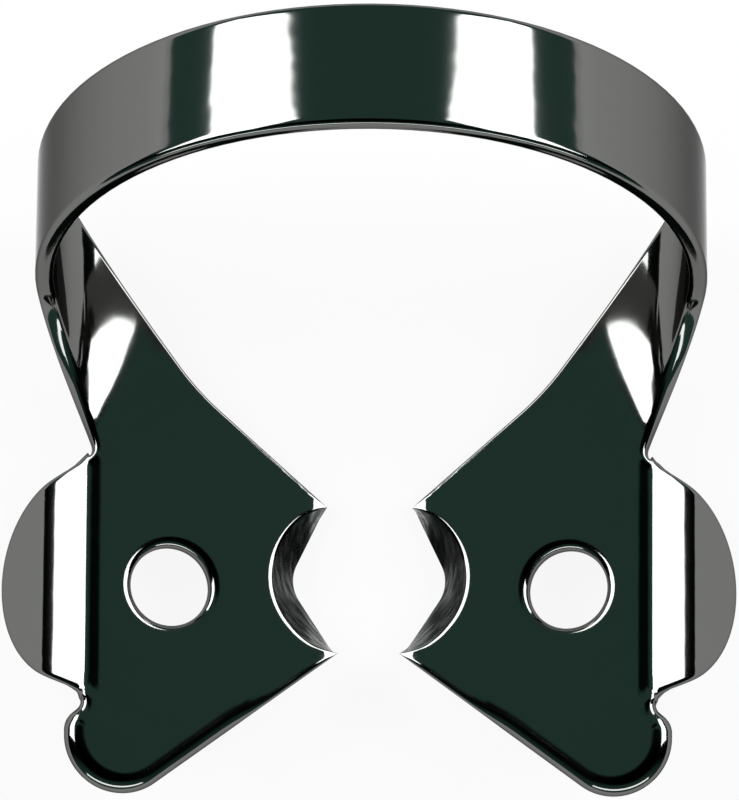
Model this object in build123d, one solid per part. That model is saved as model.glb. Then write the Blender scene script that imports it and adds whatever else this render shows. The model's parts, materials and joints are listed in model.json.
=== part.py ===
from build123d import *
from math import asin, cos, degrees, radians, sin, sqrt, tan
import os

# Rubber dam clamp: one sheet of spring steel, stamped, bent and polished.
# Millimetres and degrees. It is drawn with its jaw line level, then laid down as it rests on a table.
# X runs across the tooth, Y towards the bow, Z up.

# Sheet
sheet = 0.65  # thickness of the steel
edge_round = 0.16  # polished rounding of the stamped edges
rest_tilt = 13.3  # how far the jaws tip back when the clamp lies on a table

# Bow: a spring arch that leans back over the jaws
bow_radius = 11.25  # inside of the arch
bow_width = 4.75
bow_lean = 14.0
bow_setback = 2.75  # front rim of the arch, behind the tooth
bow_rise = 6.38  # centre of the arch, above the line where the jaws would meet
toe_in = 3.5  # how far the arch runs on past the half circle

# Shoulders: the arms of the bow roll over into the jaws
bend_pull = 0.5  # how tight the roll is: 0 is a straight chamfer, 1 a sharp fold
front_reach = 4.0  # front edge of the roll, from the fold to the jaw
rear_reach = 6.2  # rear edge of the roll, from the fold to the jaw

# Jaws, measured on the sloping plate: x out from the middle of the tooth, y towards the bow
jaw_slope = 13.0  # the plates fall towards the tooth
wing_inset = 1.25  # base line of the wing, inside the arch
wing_x = bow_radius - wing_inset
knee_inset = 3.67  # the rear edge turns here, inside the base line, towards the upper prong
knee_x = wing_x - knee_inset
knee_y = 0.05
knee_round = 10.0
upper_prong_x = 1.62
upper_prong_y = -3.9
lower_prong_x = 1.1
lower_prong_y = -9.27
prong_round = 0.3
corner_room = 0.95  # share of its shorter side that the rounding of a corner may take
lobe_reach = 0.95  # the front lobe stands out past the base line of the wing
lobe_fall = 37.3  # the front edge runs down to the lobe at this angle
lobe_round = 2.05
lobe_side = 0.16  # straight outer side of the lobe
lobe_turn = 50.0  # from there it turns in to the neck of the wing
lobe_turn_round = 0.8

# Notch for the tooth, ground as a cone that is wide on top, so that its lower edge bites
notch_x = 0.55
notch_y = -6.75
notch_top_radius = 2.95
notch_bite_radius = 2.1

# Forceps hole
hole_inset = 2.77  # from the base line of the wing
hole_x = wing_x - hole_inset
hole_y = -7.15
hole_diameter = 2.85
hole_round = 0.15

# Wing: half a disc, bent down along its base line
wing_radius = 3.83
wing_offset = 0.42  # centre of the disc, outside the base line
wing_bend = 59.0
wing_bend_radius = 2.0  # outer face of the bend
wing_root = 8.8  # width at the base line

# Top face of the right-hand jaw
jaw = Plane(
    origin=(0, 0, 0),
    x_dir=(cos(radians(jaw_slope)), 0, sin(radians(jaw_slope))),
    z_dir=(-sin(radians(jaw_slope)), 0, cos(radians(jaw_slope))),
)


def on_jaw(x, y):
    return jaw.from_local_coords(Vector(x, y, 0))


# From the lower prong out to the lobe, and up its side to the necks of the wing
lobe_x = wing_x + lobe_reach
lobe_y = lower_prong_y - (lobe_x - lower_prong_x) * tan(radians(lobe_fall))
lobe_arc_end = lobe_y + lobe_round / tan(radians(90 - lobe_fall) / 2)
lobe_turn_y = lobe_arc_end + lobe_side + lobe_turn_round * tan(radians(lobe_turn) / 2)
lower_neck_y = lobe_turn_y + lobe_reach / tan(radians(lobe_turn))
upper_neck_y = lower_neck_y + wing_root


# Front of the arch: x across, y up the lean
back = Vector(0, cos(radians(bow_lean)), -sin(radians(bow_lean)))
arch = Plane(origin=(0, bow_setback, bow_rise), x_dir=(1, 0, 0), z_dir=-back)

# The arms leave the arch at its two ends, and would run straight down through the jaws
arm_front = arch.from_local_coords(Vector(bow_radius, 0, 0).rotate(Axis.Z, -toe_in))
arm_rear = arm_front + back * bow_width
arm_down = arch.from_local_coords(Vector(0, -1, 0).rotate(Axis.Z, -toe_in)) - arch.origin


def fold_point(start):
    steps = (jaw.origin - start).dot(jaw.z_dir) / arm_down.dot(jaw.z_dir)
    return start + arm_down * steps


# Corners of the roll, from the fold to where it has become the flat jaw
front_fold = fold_point(arm_front)
rear_fold = fold_point(arm_rear)
upper_neck = on_jaw(wing_x, upper_neck_y)
rear_knee = on_jaw(knee_x, knee_y)
front_end = front_fold + (upper_neck - front_fold).normalized() * front_reach
rear_end = rear_fold + (rear_knee - rear_fold).normalized() * rear_reach


def build_bow():
    span = 180 + 2 * toe_in
    inner = CenterArc((0, 0), bow_radius, -toe_in, span)
    outer = CenterArc((0, 0), bow_radius + sheet, -toe_in, span)
    ends = [Line(inner @ 0, outer @ 0), Line(inner @ 1, outer @ 1)]
    profile = make_face(Curve() + [inner, outer] + ends)
    band = extrude(arch * profile, amount=-bow_width)
    return fillet(band.edges().filter_by(GeomType.CIRCLE), edge_round)


def rolled_edge(start, fold, end):
    leave = start + (fold - start) * bend_pull
    arrive = end + (fold - end) * bend_pull
    return Bezier(start, leave, arrive, end)


def build_shoulder():
    # A ruled sheet between two rolled edges, tangent to the arm above and to the jaw below
    front = rolled_edge(arm_front, front_fold, front_end)
    rear = rolled_edge(arm_rear, rear_fold, rear_end)
    skin = Face.make_surface_from_curves(front, rear)
    outwards = jaw.x_dir - jaw.z_dir
    roll = Solid.thicken(skin, sheet, normal_override=outwards)
    return fillet(roll.edges().filter_by(GeomType.LINE, reverse=True), edge_round)


def room_at(before, corner, after):
    # Largest rounding that the sides of a corner have room for
    back, ahead = Vector(before) - Vector(corner), Vector(after) - Vector(corner)
    return corner_room * min(back.length, ahead.length) * tan(radians(back.get_angle(ahead)) / 2)


def jaw_outline():
    front = jaw.to_local_coords(front_end)
    rear = jaw.to_local_coords(rear_end)
    corners = [
        (rear.X, rear.Y, 0),
        (knee_x, knee_y, knee_round),
        (upper_prong_x, upper_prong_y, prong_round),
        (lower_prong_x, lower_prong_y, prong_round),
        (lobe_x, lobe_y, lobe_round),
        (lobe_x, lobe_turn_y, lobe_turn_round),
        (wing_x, lower_neck_y, 0),
        (wing_x, upper_neck_y, 0),
        (front.X, front.Y, 0),
    ]
    points = [(x, y) for x, y, radius in corners]
    outline = make_face(Polyline(*points, close=True))
    for before, (x, y, radius), after in zip(points[-1:] + points, corners, points[1:] + points):
        if radius:
            corner = outline.vertices().sort_by_distance((x, y, 0))[0]
            outline = fillet(corner, min(radius, room_at(before, (x, y), after)))
    return outline


def runs_on(wall):
    # True for the two walls of the plate that become the shoulder and the wing
    seams = [on_jaw(wing_x, (lower_neck_y + upper_neck_y) / 2), (front_end + rear_end) / 2]
    return min(wall.distance_to(seam) for seam in seams) < edge_round


def build_jaw():
    plate = extrude(jaw * jaw_outline(), amount=-sheet)
    faces = plate.faces().sort_by(Axis(jaw.origin, jaw.z_dir))
    rims = faces[0].edges() + faces[-1].edges()
    seams = ShapeList(edge for wall in faces[1:-1] if runs_on(wall) for edge in wall.edges())
    return fillet(rims - seams, edge_round)


def cut_notch(plate):
    # The cone runs on past both faces of the plate at the same slope
    depth = 2 * sheet
    flare = notch_top_radius - notch_bite_radius
    middle = (notch_top_radius + notch_bite_radius) / 2
    cone = Cone(middle - flare, middle + flare, depth)
    return plate - jaw * Pos(notch_x, notch_y, -sheet / 2) * cone


def cut_hole(plate):
    drill = Cylinder(hole_diameter / 2, 2 * sheet)
    pierced = plate - jaw * Pos(hole_x, hole_y, -sheet / 2) * drill
    rims = (pierced.edges() - plate.edges()).filter_by(GeomType.CIRCLE)
    return fillet(rims, hole_round)


def build_wing():
    # The sheet bends round a bar along the base line, and the disc's outline runs on round the bend
    turn = radians(wing_bend)
    bend_length = wing_bend_radius * turn
    flap_start = bend_length - wing_offset
    flap_half = sqrt(wing_radius**2 - flap_start**2)
    flap_out = jaw.x_dir * cos(turn) - jaw.z_dir * sin(turn)
    flap_up = jaw.x_dir * sin(turn) + jaw.z_dir * cos(turn)
    base = on_jaw(wing_x, (lower_neck_y + upper_neck_y) / 2)
    flap_base = base + (flap_up - jaw.z_dir) * wing_bend_radius
    handle = 4 / 3 * tan(turn / 4) * wing_bend_radius  # of a cubic that follows the bend

    def bend_edge(side):
        across = jaw.y_dir * side
        start = base + across * wing_root / 2
        end = flap_base + across * flap_half
        leave = jaw.x_dir - across * (wing_root / 2 - flap_half) / bend_length
        arrive = flap_out - across * flap_start / flap_half
        return Bezier(start, start + leave * handle, end - arrive * handle, end)

    skin = Face.make_surface_from_curves(bend_edge(1), bend_edge(-1))
    bend = Solid.thicken(skin, sheet, normal_override=-jaw.z_dir)
    half_angle = degrees(asin(flap_half / wing_radius))
    rim = CenterArc((-flap_start, 0), wing_radius, -half_angle, 2 * half_angle)
    disc = make_face(Curve() + [rim, Line(rim @ 1, rim @ 0)])
    flap = extrude(Plane(origin=flap_base, x_dir=flap_out, z_dir=flap_up) * disc, amount=-sheet)
    return bend + flap


half = cut_hole(cut_notch(build_jaw())) + build_shoulder() + build_wing()
clamp = build_bow() + half + mirror(half, about=Plane.YZ)

# Laid down: it stands on its upper prongs and its shoulders
clamp = Rot(X=-rest_tilt) * clamp
box = clamp.bounding_box()
clamp = Pos(-box.center().X, -box.center().Y, -box.min.Z) * clamp
clamp.label = "clamp"

os.makedirs("parts", exist_ok=True)
export_step(clamp, "parts/clamp.step")
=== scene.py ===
import bpy
import bmesh
import json
from bmesh.types import BMEdge, BMVert
from math import acos, asin, atan2, cos, pi, radians, sin, tan
from mathutils import Matrix, Vector


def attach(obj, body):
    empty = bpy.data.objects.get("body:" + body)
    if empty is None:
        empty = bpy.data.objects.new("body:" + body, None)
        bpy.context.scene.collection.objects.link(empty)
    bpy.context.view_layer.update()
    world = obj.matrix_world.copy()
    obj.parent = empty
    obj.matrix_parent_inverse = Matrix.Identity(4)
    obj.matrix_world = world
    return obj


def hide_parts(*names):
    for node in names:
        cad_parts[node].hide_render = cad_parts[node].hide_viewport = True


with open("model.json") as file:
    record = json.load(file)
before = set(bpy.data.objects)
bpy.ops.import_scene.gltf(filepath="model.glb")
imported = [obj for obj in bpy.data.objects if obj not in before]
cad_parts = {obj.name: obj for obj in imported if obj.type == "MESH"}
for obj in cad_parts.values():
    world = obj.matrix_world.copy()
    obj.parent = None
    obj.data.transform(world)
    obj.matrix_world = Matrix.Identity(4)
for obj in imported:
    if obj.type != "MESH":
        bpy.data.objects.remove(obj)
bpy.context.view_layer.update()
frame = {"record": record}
print("frame loaded")

mm = 0.001

# Millimetres and degrees, drawn with the jaw line level: x across the tooth, y towards the bow, z up
sheet = {
    "thickness": 0.65,
    "restTilt": 13.3,
    "rings": (0.0, 0.012, 0.04, 0.09, 0.16, 0.25, 0.37, 0.55, 0.68),  # depths of the rings along each edge
    "near": 1e-3,          # a point this close to a line or to the mirror is on it
    "merge": 1e-4,
    "plateNear": 0.1,      # faces below this, measured from the jaw, are jaw and wing
    "faceWeight": 100,     # above 50, large flat faces lead the shading
}

bow = {
    "radius": 11.25,
    "width": 4.75,
    "lean": 14.0,
    "setback": 2.75,
    "rise": 6.38,
    "toeIn": 3.5,
    "halfSteps": 28,       # from an arm to the crown
}

shoulder = {
    "pull": 0.5,
    "frontReach": 4.0,
    "rearReach": 6.2,
    "steps": 24,
    "strips": 6,
    "nudge": 1e-3,         # step to each side of a point, to find which way an edge runs there
}

# Jaw plate: x out from the tooth, y towards the bow, both along the slope
jaw = {
    "slope": 13.0,
    "knee": (6.33, 0.05),
    "kneeRound": 10.0,
    "kneeSteps": 12,
    "upperProng": (1.62, -3.9),
    "lowerProng": (1.1, -9.27),
    "sideCuts": 15,        # along each straight side that ends in a prong
    "lobeReach": 0.95,
    "lobeFall": 37.3,
    "lobeRound": 2.05,
    "lobeSteps": 32,
    "lobeSide": 0.16,
    "lobeTurn": 50.0,
    "lobeTurnRound": 0.8,
    "lobeTurnSteps": 12,
    "neckRound": 0.42,
    "neckSteps": 10,
}

notch = {
    "centre": (0.55, -6.75),
    "topRadius": 2.95,
    "biteCentre": (1.35, -6.6),   # the lower rim is a small arc with a straight run to each tip
    "biteRadius": 1.3,
    "steps": 40,
}

hole = {"centre": (7.23, -7.15), "radius": 1.425, "steps": 72, "mount": "forceps_hole_right"}

# Radius of the polished edges
edge = {
    "plain": 0.18,
    "rear": 0.1,
    "bow": 0.2,            # front edge of the bow and the shoulders
    "front": 0.55,
    "fade": 0.8,           # the front edge loses its rounding over this much before the neck
    "notch": 0.3,
    "hole": 0.3,
    "tip": 0.02,           # depth of the rings at a tip
    "tipFade": 0.2,        # how fast it grows away from a tip
    "most": 0.8,           # share of that depth that the rounding may take
    "facet": 0.45,         # the tips are dressed with a small facet
    "facetSlope": 14.0,
    "below": 0.18,
    "bite": 0.03,
}

wing = {
    "base": 10.0,
    "radius": 3.83,
    "steps": 64,
    "offset": 0.6,
    "root": 8.8,
    "bendStart": 9.78,
    "bends": (
        {"turn": 30.5, "length": 0.62, "steps": 8},
        {"turn": 19.2, "length": 1.47, "steps": 6},
        {"turn": 9.3, "length": 0.37, "steps": 4},
    ),
    "blend": 0.35,         # the bend fades out over this much at the necks
    "cutSnap": 0.005,      # a cut this close to a vertex goes through it
}


def onJaw(x, y, z=0.0):
    slope = radians(jaw["slope"])
    return Vector((x * cos(slope) - z * sin(slope), y, x * sin(slope) + z * cos(slope)))


def fromJaw(p):
    slope = radians(jaw["slope"])
    x = abs(p.x)
    return Vector((x * cos(slope) + p.z * sin(slope), p.y, p.z * cos(slope) - x * sin(slope)))


def inPlane(p):
    return Vector((p[0], p[1], 0))


def angleOf(p):
    return atan2(p.y, p.x)


# Places that several stretches of the sheet share
lean = radians(bow["lean"])
back = Vector((0, cos(lean), -sin(lean)))
archUp = Vector((0, sin(lean), cos(lean)))
archCentre = Vector((0, bow["setback"], bow["rise"]))
toeIn = radians(bow["toeIn"])
armFront = archCentre + (Vector((1, 0, 0)) * cos(toeIn) - archUp * sin(toeIn)) * bow["radius"]
armRear = armFront + back * bow["width"]
armDown = -archUp * cos(toeIn) - Vector((1, 0, 0)) * sin(toeIn)


def foldPoint(start):
    # Where an arm would run into the plane of the jaw
    up = onJaw(0, 0, 1)
    return start + armDown * (-start.dot(up) / armDown.dot(up))


frontFold = foldPoint(armFront)
rearFold = foldPoint(armRear)

lobeX = wing["base"] + jaw["lobeReach"]
lobeY = jaw["lowerProng"][1] - (lobeX - jaw["lowerProng"][0]) * tan(radians(jaw["lobeFall"]))
lobeTurnY = (lobeY + jaw["lobeRound"] / tan(radians(90 - jaw["lobeFall"]) / 2) + jaw["lobeSide"]
             + jaw["lobeTurnRound"] * tan(radians(jaw["lobeTurn"]) / 2))
lowerNeckY = lobeTurnY + jaw["lobeReach"] / tan(radians(jaw["lobeTurn"]))
upperNeckY = lowerNeckY + wing["root"]
wingY = (lowerNeckY + upperNeckY) / 2

frontEnd = frontFold + (onJaw(wing["base"], upperNeckY) - frontFold).normalized() * shoulder["frontReach"]
rearEnd = rearFold + (onJaw(*jaw["knee"]) - rearFold).normalized() * shoulder["rearReach"]
deepestRing = sheet["rings"][-1]


def notchMeets(start, end):
    # Where a straight edge runs into the top rim of the notch
    start = inPlane(start)
    direction = (inPlane(end) - start).normalized()
    rel = start - inPlane(notch["centre"])
    b = rel.dot(direction)
    c = rel.length_squared - notch["topRadius"] ** 2
    return start + direction * (-b - (b * b - c) ** 0.5)


upperTip = notchMeets(jaw["knee"], jaw["upperProng"])
lowerTip = inPlane(jaw["lowerProng"])


def toTip(p):
    return min((p - upperTip).length, (p - lowerTip).length)


def arcThrough(start, middle, end):
    # Centre and turn of the arc through three points
    a, b = middle - start, end - start
    across = Vector((b.y * a.length_squared - a.y * b.length_squared,
                     a.x * b.length_squared - b.x * a.length_squared, 0))
    centre = start + across / (2 * a.cross(b).z)
    return centre, angleOf(end - centre) - angleOf(start - centre)


notchDeepest = inPlane(notch["centre"]) + Vector((notch["topRadius"], 0, 0))
rimCentre, rimTurn = arcThrough(upperTip, notchDeepest, lowerTip)


def bitePoint(p):
    # The point of the lower rim below a point of the top rim
    share = (angleOf(p - rimCentre) - angleOf(upperTip - rimCentre)) / rimTurn
    centre = inPlane(notch["biteCentre"])
    upper, lower = upperTip - centre, lowerTip - centre
    first, last = angleOf(upper), angleOf(lower)
    angle = first + (last - first) * share
    straight = max(angle - first + acos(notch["biteRadius"] / upper.length),
                   last + acos(notch["biteRadius"] / lower.length) - angle, 0)
    return centre + Vector((cos(angle), sin(angle), 0)) * notch["biteRadius"] / cos(straight)


def only(kind, geom):
    return [part for part in geom if isinstance(part, kind)]


def unique(parts):
    return list(dict.fromkeys(parts))   # in the order they come


def nearest(verts, place):
    return min(verts, key=lambda v: (v.co - place).length)


# Outline of the flat jaw and its wing, before bending
def spinVert(bm, first, centre, turn, steps):
    made = bmesh.ops.spin(bm, geom=[first], cent=centre, axis=(0, 0, 1), angle=turn, steps=steps)
    return only(BMVert, made["geom_last"])[0]


def roundCorner(bm, before, corner, after, radius, steps):
    a = (before - corner).normalized()
    b = (after - corner).normalized()
    half = a.angle(b) / 2
    centre = corner + (a + b).normalized() * radius / sin(half)
    turn = pi - 2 * half
    if a.cross(b).z > 0:
        turn = -turn
    first = bm.verts.new(corner + a * radius / tan(half))
    return first, spinVert(bm, first, centre, turn, steps)


def drawOutline(bm):
    # An open chain, from the rear end of the seam with the shoulder round to its front end
    knee = inPlane(jaw["knee"])
    lobe = Vector((lobeX, lobeY, 0))
    lobeTurn = Vector((lobeX, lobeTurnY, 0))
    lowerNeck = Vector((wing["base"], lowerNeckY, 0))
    upperNeck = Vector((wing["base"], upperNeckY, 0))
    rear, front = fromJaw(rearEnd), fromJaw(frontEnd)

    # The sides of the wing are tangents to its disc, from the necks to a far point
    disc = Vector((wing["base"] + wing["offset"], wingY, 0))
    toNeck = upperNeck - disc
    tangent = angleOf(toNeck) - (pi / 2 - asin(wing["radius"] / toNeck.length))
    far = Vector((disc.x + wing["radius"] / cos(tangent), wingY, 0))

    first = bm.verts.new(inPlane(rear))
    last = bm.verts.new(inPlane(front))
    rimStart = bm.verts.new(upperTip)
    rimEnd = spinVert(bm, rimStart, rimCentre, rimTurn, notch["steps"])
    chain = [
        (first, first),
        roundCorner(bm, rear, knee, upperTip, jaw["kneeRound"], jaw["kneeSteps"]),
        (rimStart, rimEnd),
        roundCorner(bm, lowerTip, lobe, lobeTurn, jaw["lobeRound"], jaw["lobeSteps"]),
        roundCorner(bm, lobe, lobeTurn, lowerNeck, jaw["lobeTurnRound"], jaw["lobeTurnSteps"]),
        roundCorner(bm, lobeTurn, lowerNeck, far, jaw["neckRound"], jaw["neckSteps"]),
        roundCorner(bm, lowerNeck, far, upperNeck, wing["radius"], wing["steps"]),
        roundCorner(bm, far, upperNeck, front, jaw["neckRound"], jaw["neckSteps"]),
        (last, last),
    ]
    sides = [bm.edges.new((one[1], two[0])) for one, two in zip(chain, chain[1:])]
    # Straight sides that end in a tip are cut, because their rounding changes along them
    bmesh.ops.subdivide_edges(bm, edges=sides[1:3], cuts=jaw["sideCuts"])


def leftOf(a, b):
    way = (b.co - a.co).normalized()
    return Vector((-way.y, way.x, 0))


def chainOrder(bm):
    order = [nearest(bm.verts, inPlane(fromJaw(rearEnd)))]
    while True:
        ahead = [e.other_vert(order[-1]) for e in order[-1].link_edges]
        ahead = [v for v in ahead if v not in order[-2:]]
        if not ahead:
            return order
        order.append(ahead[0])


def markOutline(bm, mark):
    # Which way each ring moves in from the edge, how deep the rings go there and how round the edge is
    order = chainOrder(bm)
    for i, v in enumerate(order):
        v[mark["index"]] = i
    seam = (order[-1].co - order[0].co).normalized()
    tips = [nearest(order, tip)[mark["index"]] for tip in (upperTip, lowerTip)]
    for i, v in enumerate(order):
        if i == 0:
            inward = seam / seam.dot(leftOf(v, order[1]))
        elif v == order[-1]:
            inward = -seam / (-seam).dot(leftOf(order[-2], v))
        else:
            one, two = leftOf(order[i - 1], v), leftOf(v, order[i + 1])
            inward = (one + two) / (1 + one.dot(two))
        deepest = min(edge["tip"] + edge["tipFade"] * toTip(v.co), deepestRing)
        v[mark["reach"]] = deepest / deepestRing
        v[mark["inward"]] = inward * v[mark["reach"]]
        v[mark["turn"]] = pi / 2
        radius = edge["plain"]
        if i < tips[0]:
            radius = edge["rear"]
        elif i <= tips[1]:
            radius = edge["notch"]
            v[mark["rim"]] = 1
            v[mark["grind"]] = bitePoint(v.co) - v.co
            v[mark["turn"]] = atan2(sheet["thickness"], v[mark["grind"]].length)
        elif v == order[-1]:
            radius = edge["bow"]
        elif v.co.y < lowerNeckY:
            share = min((lowerNeckY - v.co.y) / edge["fade"], 1)
            radius += (edge["front"] - edge["plain"]) * share
        v[mark["radius"]] = min(radius, edge["most"] * deepest / sin(v[mark["turn"]]))
    return order


def drawHole(bm, mark):
    centre = inPlane(hole["centre"])
    made = bmesh.ops.create_circle(bm, segments=hole["steps"], radius=hole["radius"],
                                   matrix=Matrix.Translation(centre))
    for v in made["verts"]:
        v[mark["index"]] = -1   # not on the outline
        v[mark["reach"]] = 1.0
        v[mark["inward"]] = (v.co - centre).normalized() / cos(pi / hole["steps"])
        v[mark["turn"]] = pi / 2
        v[mark["radius"]] = edge["hole"]


def flatJaw(bm, mark):
    drawOutline(bm)
    order = markOutline(bm, mark)
    necks = [nearest(order, Vector((wing["base"], y, 0)))[mark["index"]] for y in (lowerNeckY, upperNeckY)]
    ends = (0, len(order) - 1)
    drawHole(bm, mark)

    # Rings run in from every edge
    loop = bm.edges[:]
    for near, deep in zip(sheet["rings"], sheet["rings"][1:]):
        made = bmesh.ops.extrude_edge_only(bm, edges=loop)["geom"]
        loop, inner = only(BMEdge, made), only(BMVert, made)
        for v in inner:
            v.co += v[mark["inward"]] * (deep - near)
            v[mark["depth"]] = v[mark["reach"]] * deep

    # The rest of the wing is one face, and the rest of the jaw is filled round the hole
    at = {v[mark["index"]]: v for v in inner}
    across = bm.edges.new((at[necks[0]], at[necks[1]]))
    seam = bm.edges.new((at[ends[0]], at[ends[1]]))
    cuts = bmesh.ops.subdivide_edges(bm, edges=[seam], cuts=shoulder["strips"] - 1)["geom_inner"]
    seams = unique(e for v in only(BMVert, cuts) for e in v.link_edges)
    wingLoop = [e for e in loop if all(necks[0] <= v[mark["index"]] <= necks[1] for v in e.verts)]
    jawLoop = [e for e in loop if e not in wingLoop]
    bmesh.ops.edgeloop_fill(bm, edges=wingLoop + [across])
    bmesh.ops.triangle_fill(bm, use_beauty=True, use_dissolve=False, normal=(0, 0, 1),
                            edges=jawLoop + [across] + seams)


def bentProfile(run):
    # Where a point of the flat wing comes to lie, out along the jaw and up from it
    x, z, angle = 0.0, 0.0, 0.0
    for bend in wing["bends"]:
        part = min(run, bend["length"])
        radius = bend["length"] / radians(bend["turn"])
        swing = part / radius
        x += radius * (sin(angle + swing) - sin(angle))
        z += radius * (cos(angle + swing) - cos(angle))
        angle += swing
        run -= part
    return x + run * cos(angle), z - run * sin(angle)


def bendWing(bm):
    # Cut across the wing first, so that every facet of the bend is straight
    cuts = [wing["bendStart"]]
    for bend in wing["bends"]:
        cuts += [cuts[-1] + bend["length"] * (step + 1) / bend["steps"] for step in range(bend["steps"])]
    for cut in cuts:
        # The triangles are the middle of the jaw, and stay whole
        faces = [f for f in bm.faces if lowerNeckY < f.calc_center_median().y < upperNeckY
                 and max(v.co.x for v in f.verts) > wing["bendStart"] and len(f.verts) != 3]
        parts = faces + unique(e for f in faces for e in f.edges) + unique(v for f in faces for v in f.verts)
        bmesh.ops.bisect_plane(bm, geom=parts, dist=wing["cutSnap"], plane_co=(cut, 0, 0), plane_no=(1, 0, 0))
    for v in bm.verts:
        x, y = v.co.x, v.co.y
        run = x - wing["bendStart"]
        inside = (wing["root"] / 2 - abs(y - wingY)) / wing["blend"]
        flat = onJaw(x, y)
        if run <= 0 or inside <= 0:
            v.co = flat
            continue
        out, up = bentProfile(run)
        share = min(inside, 1)
        eased = share * share * (3 - 2 * share)
        v.co = flat.lerp(onJaw(wing["bendStart"] + out, y, up), eased)


def rolledEdge(start, fold, end, q):
    leave = start.lerp(fold, shoulder["pull"])
    arrive = end.lerp(fold, shoulder["pull"])
    return (start * (1 - q) ** 3 + leave * 3 * q * (1 - q) ** 2
            + arrive * 3 * q * q * (1 - q) + end * q ** 3)


def crossing(ruling, start, fold, end, q):
    # Sine of the angle between the ruling and the rolled edge
    nudge = shoulder["nudge"]
    way = rolledEdge(start, fold, end, q + nudge) - rolledEdge(start, fold, end, q - nudge)
    return sin(ruling.angle(way))


def rollShoulder(bm, mark):
    # The seam is drawn up step by step between the front and rear edges of the roll
    along = (rearEnd - frontEnd).normalized()
    row = [v for v in bm.verts
           if (v.co - frontEnd - along * (v.co - frontEnd).dot(along)).length < sheet["near"]]
    row.sort(key=lambda v: (v.co - frontEnd).length)
    last = len(row) - 1
    ring = len(sheet["rings"]) - 1
    depths = [v[mark["depth"]] for v in row]
    places = [(v.co - row[ring].co).length / (row[last - ring].co - row[ring].co).length for v in row]
    for column, v in enumerate(row):
        v[mark["column"]] = column
    edges = [e for e in bm.edges if e.is_boundary and e.verts[0] in row and e.verts[1] in row]
    for step in range(1, shoulder["steps"] + 1):
        q = 1 - step / shoulder["steps"]
        front = rolledEdge(armFront, frontFold, frontEnd, q)
        rear = rolledEdge(armRear, rearFold, rearEnd, q)
        ruling = (rear - front).normalized()
        fromFront = 1 / crossing(ruling, armFront, frontFold, frontEnd, q)
        fromRear = 1 / crossing(ruling, armRear, rearFold, rearEnd, q)
        innerFront = front + ruling * depths[ring] * fromFront
        innerRear = rear - ruling * depths[last - ring] * fromRear
        made = bmesh.ops.extrude_edge_only(bm, edges=edges)["geom"]
        edges = only(BMEdge, made)
        for v in only(BMVert, made):
            column = v[mark["column"]]
            if column <= ring:
                v.co = front + ruling * depths[column] * fromFront
            elif column >= last - ring:
                v.co = rear - ruling * depths[column] * fromRear
            else:
                v.co = innerFront.lerp(innerRear, places[column])
    return edges


def spinArch(bm, edges):
    verts = unique(v for e in edges for v in e.verts)
    bmesh.ops.spin(bm, geom=verts + edges, cent=archCentre, axis=-back, steps=bow["halfSteps"],
                   angle=pi / 2 + toeIn)


def newSheet():
    bm = bmesh.new()
    whole = bm.verts.layers.int
    number = bm.verts.layers.float
    vector = bm.verts.layers.float_vector
    for name in ("index", "column", "rim"):
        whole.new(name)
    for name in ("depth", "reach", "radius", "turn"):
        number.new(name)
    for name in ("inward", "grind", "up", "home"):
        vector.new(name)
    mark = {name: layers[name] for layers in (whole, number, vector) for name in layers.keys()}
    return bm, mark


def buildSheet(bm, mark):
    flatJaw(bm, mark)
    bendWing(bm)
    spinArch(bm, rollShoulder(bm, mark))
    for v in bm.verts:
        if abs(v.co.x) < sheet["near"]:
            v.co.x = 0
    bmesh.ops.mirror(bm, geom=bm.verts[:] + bm.edges[:] + bm.faces[:], axis="X", merge_dist=sheet["near"])
    bmesh.ops.remove_doubles(bm, verts=bm.verts[:], dist=sheet["merge"])
    bmesh.ops.recalc_face_normals(bm, faces=bm.faces[:])
    plate = [f for f in bm.faces if fromJaw(f.calc_center_median()).z < sheet["plateNear"]]
    if sum(f.normal.z * f.calc_area() for f in plate) < 0:
        bmesh.ops.reverse_faces(bm, faces=bm.faces[:])


def thicken(bm, mark):
    bm.normal_update()
    for v in bm.verts:
        v[mark["up"]] = v.normal
        v[mark["home"]] = v.co
    bmesh.ops.solidify(bm, geom=bm.faces[:], thickness=sheet["thickness"])


def isBelow(v, mark):
    return (v.co - v[mark["home"]]).length > sheet["thickness"] / 2


def finishEdges(bm, mark):
    # The lower rim of each notch moves in, which turns its wall into a cone, and every edge is rounded
    below = {v for v in bm.verts if isBelow(v, mark)}
    for v in bm.verts:
        depth, radius, turn = v[mark["depth"]], v[mark["radius"]], v[mark["turn"]]
        up = v[mark["up"]].copy()
        if v in below:
            move = onJaw(*v[mark["grind"]])
            v.co += Vector((move.x * (1 if v.co.x > 0 else -1), move.y, move.z))
            radius = edge["bite"] if v[mark["rim"]] else edge["below"]
            radius, turn = min(radius, v[mark["reach"]] * deepestRing), pi / 2
            up.negate()
        elif depth > 0 or v[mark["reach"]] < 1:
            tip = toTip(inPlane(fromJaw(v.co)))
            v.co -= up * max(edge["facet"] - tip, 0) * tan(radians(edge["facetSlope"]))
        side = max(radius * sin(turn) - depth, 0)
        if turn > 0:
            v.co -= up * (radius - (radius * radius - side * side) ** 0.5)

    # The biting edge stays sharp, and the wall of the notch is ground
    bite = {v for v in bm.verts if v[mark["rim"]] and not v[mark["depth"]]}
    for f in bm.faces:
        f.smooth = True
        if all(v in bite for v in f.verts):
            f.material_index = 1
    for e in bm.edges:
        if all(v in bite and v in below for v in e.verts):
            e.smooth = False


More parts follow.
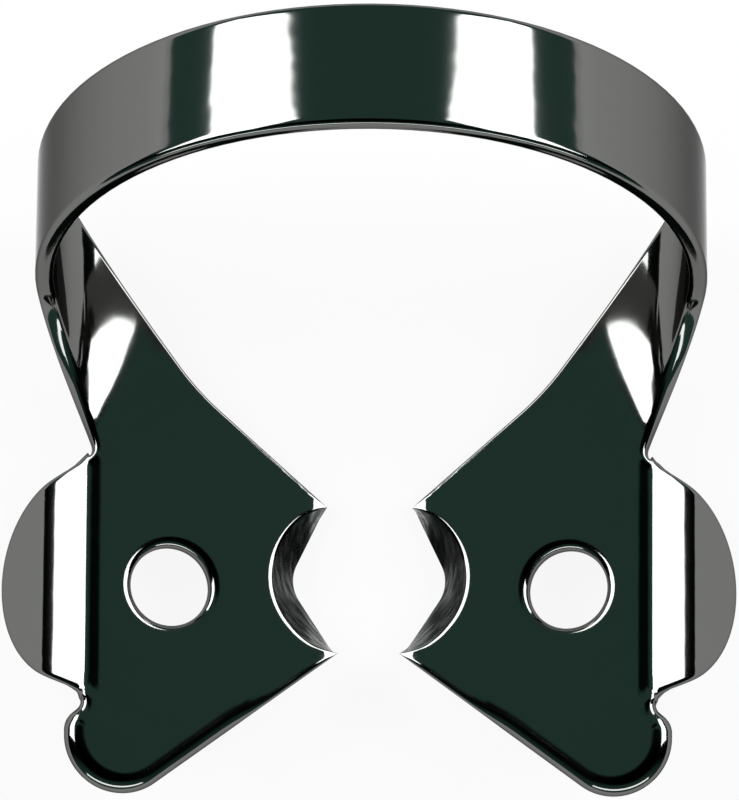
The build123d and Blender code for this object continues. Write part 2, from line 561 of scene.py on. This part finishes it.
def layDown(bm):
    # Turned into its rest pose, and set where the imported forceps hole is
    mount = next(m for m in frame["record"]["mounts"] if m["name"] == hole["mount"])
    turn = Matrix.Rotation(radians(-sheet["restTilt"]), 4, "X") @ Matrix.Scale(mm, 4)
    here = turn @ onJaw(*hole["centre"], -sheet["thickness"] / 2)
    place = Matrix.Translation(Vector(mount["pos_m"]) - here) @ turn
    bmesh.ops.transform(bm, verts=bm.verts[:], matrix=place)
    for v in bm.verts:
        v.co.z = max(v.co.z, 0)   # what it stands on is a little worn


def newPiece(name, bm):
    mesh = bpy.data.meshes.new(name)
    bm.to_mesh(mesh)
    bm.free()
    piece = bpy.data.objects.new(name, mesh)
    bpy.context.scene.collection.objects.link(piece)
    return piece


def toLinear(code):
    # sRGB hex to the linear values that shaders take
    parts = [int(code[i:i + 2], 16) / 255 for i in (1, 3, 5)]
    return [p / 12.92 if p <= 0.04045 else ((p + 0.055) / 1.055) ** 2.4 for p in parts] + [1.0]


def addNode(tree, kind, settings=None, links=None):
    # Sockets go by name, or by number where a node has several of one name
    node = tree.nodes.new(kind)
    for name, value in (settings or {}).items():
        if isinstance(name, str) and hasattr(node, name):
            setattr(node, name, value)
        else:
            node.inputs[name].default_value = value
    for name, source in (links or {}).items():
        tree.links.new(source, node.inputs[name])
    return node


def setStops(elements, stops):
    while len(elements) < len(stops):
        elements.new(0.5)
    for stop, (at, colour) in zip(elements, stops):
        stop.position = at
        stop.color = toLinear(colour)


def newMaterial(name):
    material = bpy.data.materials.new(name)
    material.use_nodes = True
    material.node_tree.nodes.clear()
    return material, material.node_tree


steel = {
    "colour": "#727371",
    "edgeColour": "#a0a0a0",
    "roughness": 0.07,
    "waveSize": 2.5,       # hand polishing leaves the faces faintly wavy
    "waveHeight": 0.012,
    "waveDetail": 2.0,
}

ground = {
    "tones": ((0.42, "#444a47"), (0.68, "#8f918f")),
    "roughness": 0.2,
    "lineWidth": 0.09,     # grinding lines that run round the notch
    "lineLength": 0.9,
    "lineDetail": 2.0,
}


# Mirror polish: sharp reflections of the studio that waver slightly over each face
def polishedSteel():
    material, tree = newMaterial("polishedSpringSteel")
    place = addNode(tree, "ShaderNodeTexCoord")
    waves = addNode(tree, "ShaderNodeTexNoise",
                    {"Scale": 1 / (steel["waveSize"] * mm), "Detail": steel["waveDetail"]},
                    {"Vector": place.outputs["Object"]})
    bump = addNode(tree, "ShaderNodeBump", {"Strength": 1.0, "Distance": steel["waveHeight"] * mm},
                   {"Height": waves.outputs["Fac"]})
    shader = addNode(tree, "ShaderNodeBsdfPrincipled",
                     {"Base Color": toLinear(steel["colour"]), "Metallic": 1.0,
                      "Roughness": steel["roughness"], "Specular Tint": toLinear(steel["edgeColour"])},
                     {"Normal": bump.outputs["Normal"]})
    addNode(tree, "ShaderNodeOutputMaterial", links={"Surface": shader.outputs["BSDF"]})
    return material


# Ground wall of the notch: a satin grey with darker and lighter lines that run round it
def groundSteel():
    material, tree = newMaterial("groundSpringSteel")
    place = addNode(tree, "ShaderNodeTexCoord")
    along, across = 1 / (ground["lineLength"] * mm), 1 / (ground["lineWidth"] * mm)
    stretched = addNode(tree, "ShaderNodeMapping", {"Scale": (along, along, across)},
                        {"Vector": place.outputs["Object"]})
    lines = addNode(tree, "ShaderNodeTexNoise", {"Scale": 1.0, "Detail": ground["lineDetail"]},
                    {"Vector": stretched.outputs["Vector"]})
    tone = addNode(tree, "ShaderNodeValToRGB", links={"Fac": lines.outputs["Fac"]})
    setStops(tone.color_ramp.elements, ground["tones"])
    shader = addNode(tree, "ShaderNodeBsdfPrincipled", {"Metallic": 1.0, "Roughness": ground["roughness"]},
                     {"Base Color": tone.outputs["Color"]})
    addNode(tree, "ShaderNodeOutputMaterial", links={"Surface": shader.outputs["BSDF"]})
    return material


def makeClamp():
    bm, mark = newSheet()
    buildSheet(bm, mark)
    print("sheet bent", len(bm.faces))
    thicken(bm, mark)
    finishEdges(bm, mark)
    layDown(bm)
    bmesh.ops.recalc_face_normals(bm, faces=bm.faces[:])
    piece = newPiece("clampSheet", bm)
    piece.data.materials.append(polishedSteel())
    piece.data.materials.append(groundSteel())
    shading = piece.modifiers.new("shading", "WEIGHTED_NORMAL")
    shading.keep_sharp = True
    shading.weight = sheet["faceWeight"]

    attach(piece, "root")
    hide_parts("clamp")


makeClamp()
print("clamp made")

# Studio: a white table in a dark room, with a long softbox on each side and a low one in front
floor = {"size": 3000.0, "colour": "#ececec", "glow": 0.9}
# Colours round the room from its front (-1) to its back (1)
room = ((-1.0, "#4b6e65"), (-0.45, "#35504a"), (-0.2, "#0a100e"), (0.28, "#0a100e"), (0.38, "#4b6e65"))
overhead = {"from": 0.83, "to": 0.88, "left": 0.06}   # it is dark straight above, where the camera stands
softboxes = {
    "left": {"size": (170, 300), "place": (-210, 188, 153), "turn": (0, -54, 0), "radiance": 7.5},
    "right": {"size": (170, 300), "place": (210, 188, 153), "turn": (0, 54, 0), "radiance": 7.5},
    "front": {"size": (480, 60), "place": (0, -280, 120), "turn": (67, 0, 0), "radiance": 5.0},
}
view = {
    "height": 350.0,
    "lens": 438.75,
    "sensor": 36.0,
    "clipStart": 10.0,
    "roll": 0.4,
    "place": (-0.03, 0.15),
}


# White laminate: a matt white that shows only the clamp's soft shadow
def whiteLaminate():
    material, tree = newMaterial("whiteLaminate")
    path = addNode(tree, "ShaderNodeLightPath")
    seen = addNode(tree, "ShaderNodeMath", {"operation": "ADD"},
                   {0: path.outputs["Is Camera Ray"], 1: path.outputs["Is Glossy Ray"]})
    either = addNode(tree, "ShaderNodeMath", {"operation": "ADD", "use_clamp": True},
                     {0: seen.outputs[0], 1: path.outputs["Is Transmission Ray"]})
    share = addNode(tree, "ShaderNodeMath", {"operation": "MULTIPLY", 1: floor["glow"]},
                    {0: either.outputs[0]})
    matte = addNode(tree, "ShaderNodeBsdfDiffuse", {"Color": toLinear(floor["colour"])})
    glow = addNode(tree, "ShaderNodeEmission", {"Strength": 1.0})
    both = addNode(tree, "ShaderNodeMixShader",
                   links={0: share.outputs[0], 1: matte.outputs[0], 2: glow.outputs[0]})
    addNode(tree, "ShaderNodeOutputMaterial", links={"Surface": both.outputs[0]})
    return material


def makeFloor():
    bm = bmesh.new()
    bmesh.ops.create_grid(bm, x_segments=1, y_segments=1, size=floor["size"] / 2 * mm)
    piece = newPiece("floor", bm)
    piece.data.materials.append(whiteLaminate())


def makeRoom():
    world = bpy.data.worlds.new("room")
    bpy.context.scene.world = world
    world.use_nodes = True
    tree = world.node_tree
    place = addNode(tree, "ShaderNodeTexCoord")
    parts = addNode(tree, "ShaderNodeSeparateXYZ", links={"Vector": place.outputs["Generated"]})
    share = addNode(tree, "ShaderNodeMapRange", {"From Min": -1.0, "From Max": 1.0},
                    {"Value": parts.outputs["Y"]})
    colours = addNode(tree, "ShaderNodeValToRGB", links={"Fac": share.outputs[0]})
    setStops(colours.color_ramp.elements, [(at / 2 + 0.5, colour) for at, colour in room])
    above = addNode(tree, "ShaderNodeMapRange",
                    {"From Min": overhead["from"], "From Max": overhead["to"],
                     "To Min": 1.0, "To Max": overhead["left"]},
                    {"Value": parts.outputs["Z"]})
    tree.links.new(colours.outputs["Color"], tree.nodes["Background"].inputs["Color"])
    tree.links.new(above.outputs[0], tree.nodes["Background"].inputs["Strength"])


def makeLights():
    for name, box in softboxes.items():
        light = bpy.data.lights.new(name, "AREA")
        light.shape = "RECTANGLE"
        light.size, light.size_y = box["size"][0] * mm, box["size"][1] * mm
        light.energy = box["radiance"] * pi * light.size * light.size_y
        lamp = bpy.data.objects.new(name, light)
        lamp.location = Vector(box["place"]) * mm
        lamp.rotation_euler = [radians(angle) for angle in box["turn"]]
        lamp.visible_camera = False
        bpy.context.scene.collection.objects.link(lamp)


def makeCamera():
    data = bpy.data.cameras.new("camera")
    data.lens = view["lens"]
    data.sensor_width = view["sensor"]
    data.clip_start = view["clipStart"] * mm
    camera = bpy.data.objects.new("camera", data)
    camera.location = Vector((*view["place"], view["height"])) * mm
    camera.rotation_euler = (0, 0, radians(view["roll"]))
    bpy.context.scene.collection.objects.link(camera)
    bpy.context.scene.camera = camera


makeFloor()
makeRoom()
makeLights()
makeCamera()
bpy.context.scene.view_settings.view_transform = "Standard"
print("studio made")
